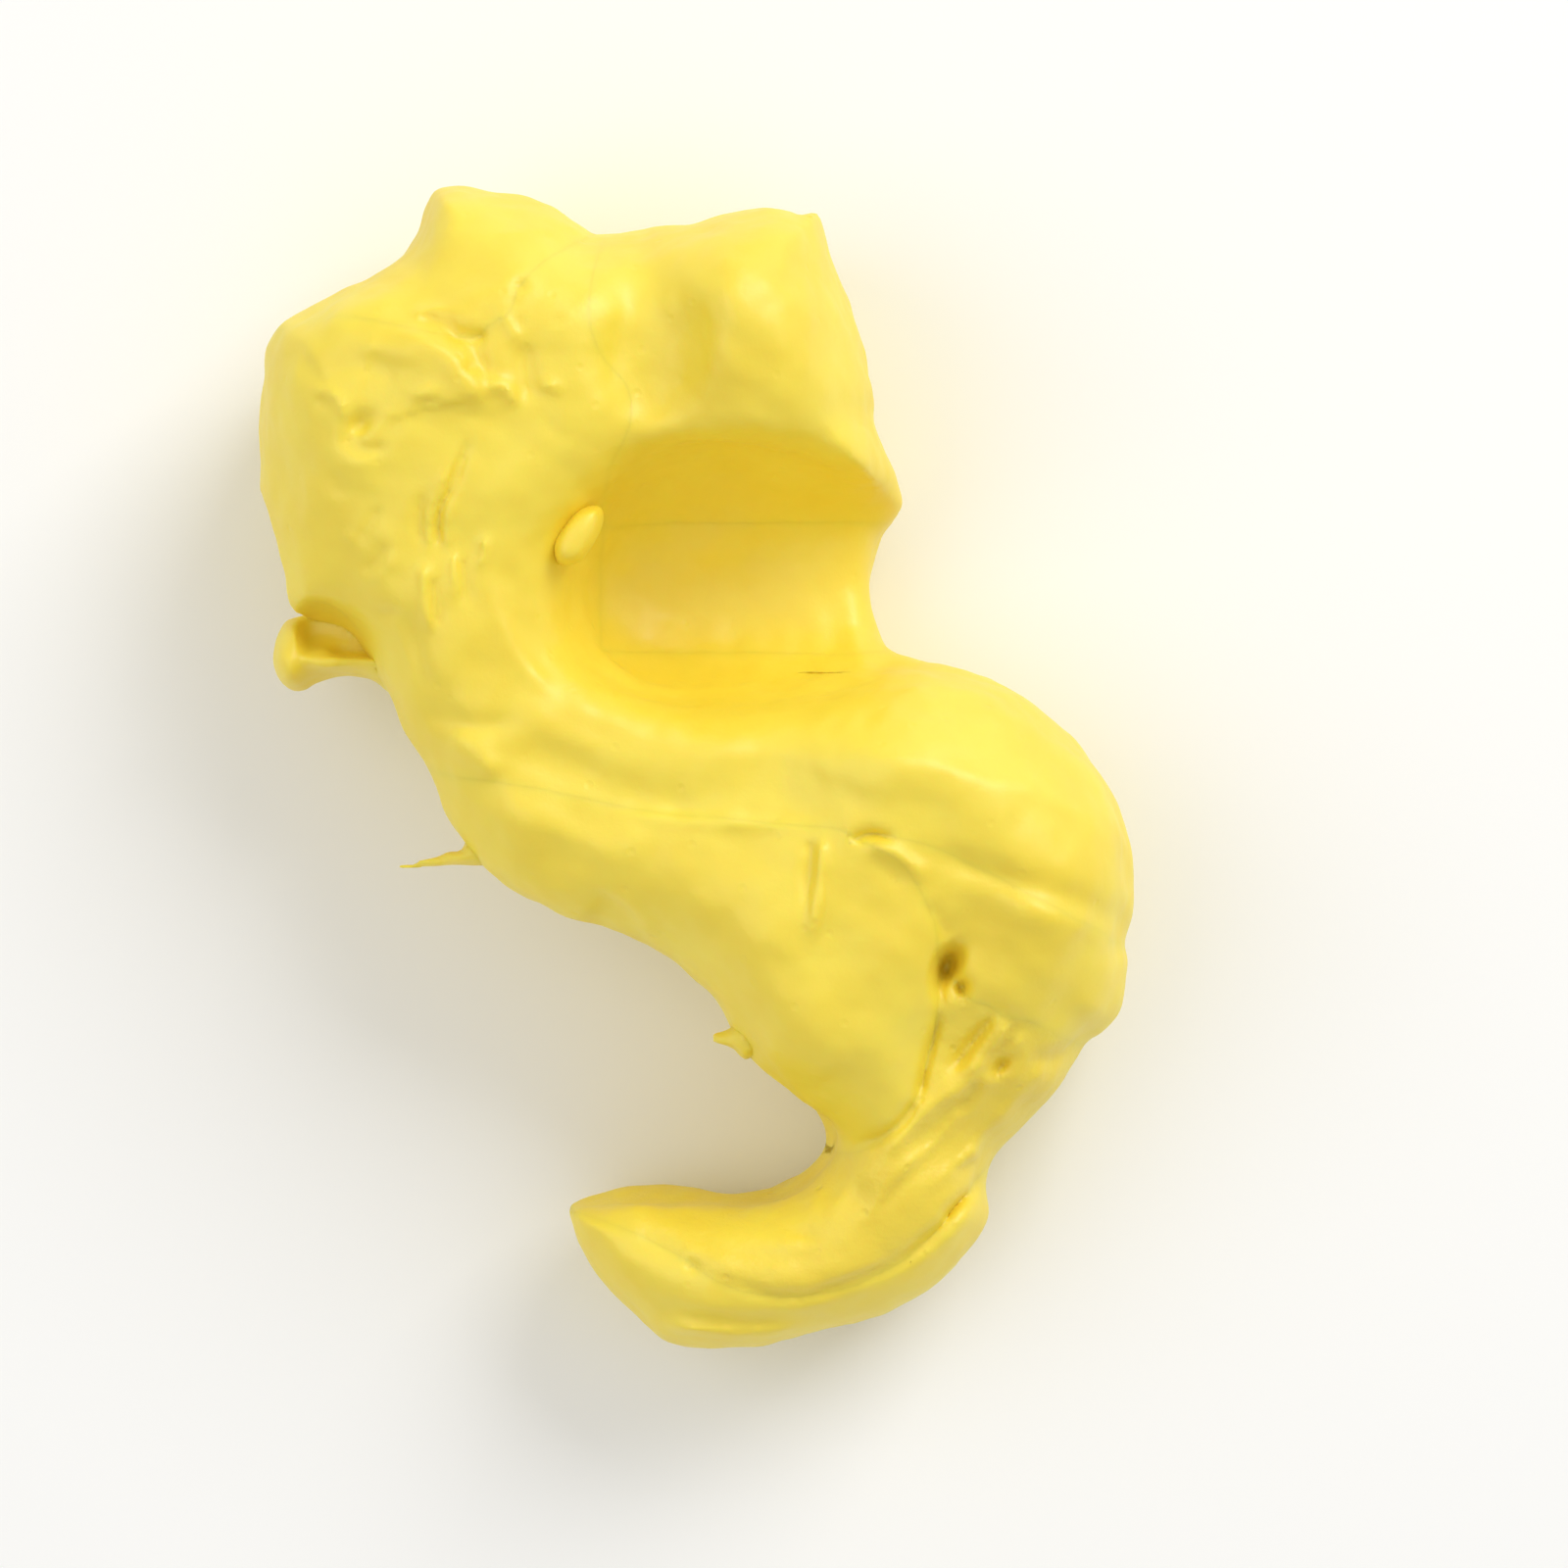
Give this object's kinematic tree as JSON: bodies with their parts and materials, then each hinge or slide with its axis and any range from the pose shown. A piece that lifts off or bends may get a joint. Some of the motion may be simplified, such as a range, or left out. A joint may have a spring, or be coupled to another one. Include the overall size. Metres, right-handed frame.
{
  "type": "stress ball",
  "caption": "Squeezed dough stress ball with a thumb hollow, finger troughs, a folding head, a peeling tongue and a folding tail.",
  "frame": {"origin": "on the desk, under the middle of the lump's box, as it lies on its back", "axes": "+X to the right across the lump, +Y up the lump from the bottom roll to the crest, +Z away from the desk"},
  "size_m": [0.0897, 0.1189, 0.0387],
  "materials": {
    "dough": "soft lemon-yellow kneadable dough, matte to satin, slightly translucent, with fine wrinkles and air-bubble pores",
    "torn_dough": "the same lemon-yellow dough where it was pulled apart, matte, with torn strands and small pits"
  },
  "bodies": {
    "core": {"grip_core": "dough", "neck_band": "dough", "thumb_web": "dough", "shoulder_lobe": "dough", "heel_lobe": "dough", "lower_flap": "torn_dough", "upper_fin": "dough"},
    "head": {"head_lobe": "dough", "left_crest": "dough", "right_crest": "dough", "thumb_lip": "dough"},
    "tongue": {"tongue": "dough", "middle_fin": "dough", "lower_fin": "dough"},
    "tail": {"bottom_roll": "dough", "bottom_fold": "dough"}
  },
  "joints": [
    {"name": "head_fold", "type": "hinge", "parent": "core", "child": "head", "pos_m": [0, 0.015, 0.008], "axis": [1, 0, 0], "range_deg": [0, 15], "deforming": ["neck_band"]},
    {"name": "tongue_peel", "type": "hinge", "parent": "core", "child": "tongue", "pos_m": [0, -0.004, 0.033], "axis": [-1, 0, 0], "range_deg": [0, 12]},
    {"name": "tail_fold", "type": "hinge", "parent": "core", "child": "tail", "pos_m": [0, -0.04, 0.008], "axis": [-1, 0, 0], "range_deg": [0, 12], "deforming": ["lower_flap"]}
  ]
}
